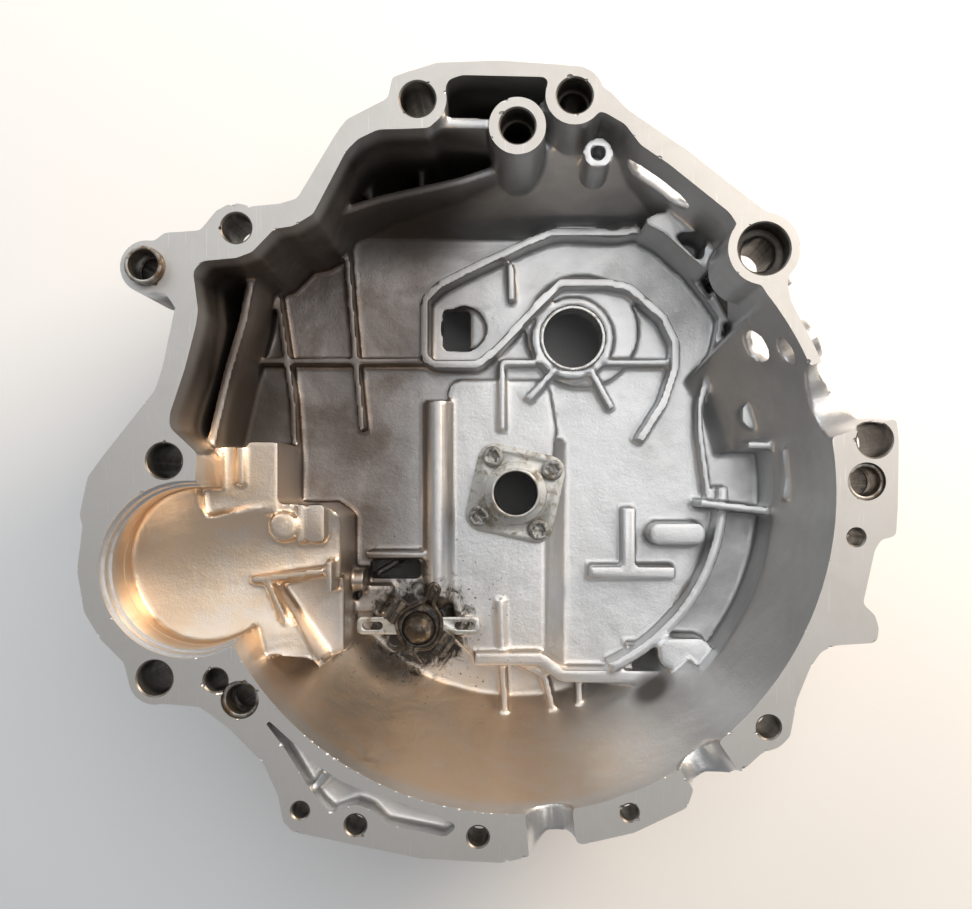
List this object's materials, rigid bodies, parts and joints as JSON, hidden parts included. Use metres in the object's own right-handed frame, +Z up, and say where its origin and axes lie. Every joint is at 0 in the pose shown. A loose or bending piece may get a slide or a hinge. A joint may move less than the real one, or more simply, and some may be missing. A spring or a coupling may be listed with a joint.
{
  "type": "gearbox housing",
  "caption": "Die-cast aluminium clutch bell housing with a ribbed interior, a bolted engine flange, a starter recess, a guide sleeve and a release lever pivot.",
  "frame": {"origin": "the input shaft axis in the plane of the rear joint face that the housing stands on", "axes": "+Z up along the input shaft axis, from the rear joint face to the engine joint face; +Y towards the top of the picture; +X to its right"},
  "size_m": [0.3841, 0.375, 0.1755],
  "materials": {
    "cast_aluminium": "die-cast skin with machined joint faces",
    "dowel_steel": "dull",
    "polished_steel": "ground",
    "strap_steel": "satin",
    "black_moulding": "matte, greasy",
    "sleeve_metal": "satin",
    "screw_steel": "zinc, dull",
    "seal_rubber": "matte"
  },
  "bodies": {
    "root": {"bell_casting": "cast_aluminium", "dowel_sleeve_upper_left": "dowel_steel", "dowel_sleeve_lower_left": "dowel_steel", "dowel_sleeve_right": "dowel_steel", "release_ball_stud": "polished_steel", "stud_strap": "strap_steel", "lever_saddle": "black_moulding", "lever_spring_clip": "strap_steel", "guide_sleeve": "sleeve_metal", "guide_sleeve_screws": "screw_steel", "input_shaft_seal": "seal_rubber", "input_bearing_race": "polished_steel", "shaft_bore_sleeve": "polished_steel"}
  },
  "joints": []
}
